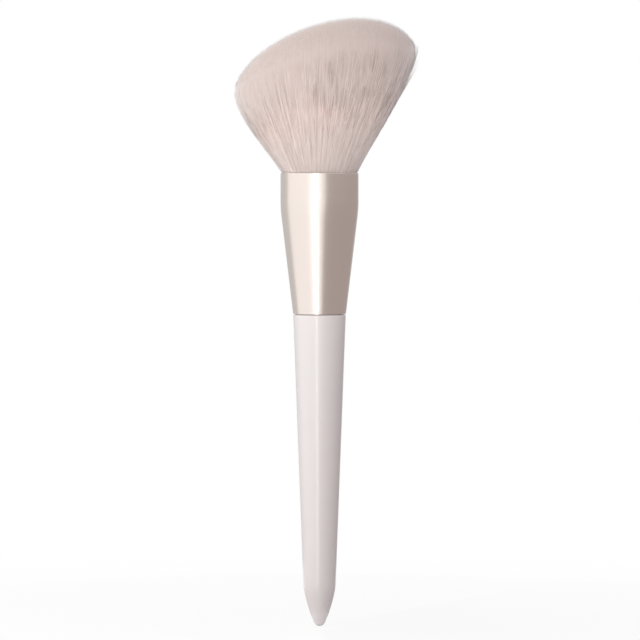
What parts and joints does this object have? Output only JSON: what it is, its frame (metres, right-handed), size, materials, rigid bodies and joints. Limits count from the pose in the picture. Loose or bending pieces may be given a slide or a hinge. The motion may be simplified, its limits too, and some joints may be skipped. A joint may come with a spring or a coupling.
{
  "type": "powder brush",
  "caption": "Powder brush with a soft, slanted dome of filaments in a tapered metal ferrule, on a slim turned handle with a blunt point.",
  "frame": {"origin": "the lowest point of the handle's blunt point, on the brush's axis", "axes": "+Z along the brush's axis, from the handle's point to the tuft; +X towards the high side of the slanted tuft; +Y to the back"},
  "size_m": [0.0538, 0.0397, 0.18],
  "materials": {
    "lacquered_wood": "gloss lacquer, pale pinkish white",
    "anodised_aluminium": "satin anodised, pale champagne",
    "wood_glue": "set glue",
    "epoxy_resin": "cast, clear pale yellow",
    "binding_thread": "twisted thread",
    "synthetic_filament": "soft tapered filament, pale pinkish beige"
  },
  "bodies": {
    "root": {"handle": "lacquered_wood", "ferrule": "anodised_aluminium", "tenon_glue": "wood_glue", "root_resin": "epoxy_resin", "root_binding": "binding_thread", "bristle_tuft": "synthetic_filament"}
  },
  "joints": []
}
